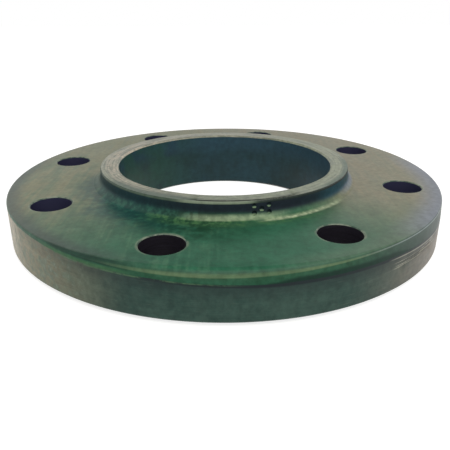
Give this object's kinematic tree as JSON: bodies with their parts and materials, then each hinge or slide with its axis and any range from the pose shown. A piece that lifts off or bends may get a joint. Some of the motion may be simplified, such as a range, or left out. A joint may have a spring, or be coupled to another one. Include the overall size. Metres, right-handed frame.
{
  "type": "slip on flange",
  "caption": "Round forged steel pipe flange with a low hub, a plain bore that slips over a pipe, a ring of bolt holes and a raised gasket face.",
  "frame": {"origin": "centre of the raised gasket face, on the bore's axis", "axes": "+Z along the bore's axis, from the raised face towards the hub; +X midway between two neighbouring bolt holes"},
  "size_m": [0.2286, 0.2286, 0.032],
  "materials": {
    "green_varnish": "thin semi-gloss green varnish over turned and forged steel"
  },
  "bodies": {
    "root": {"flange": "green_varnish"}
  },
  "joints": []
}
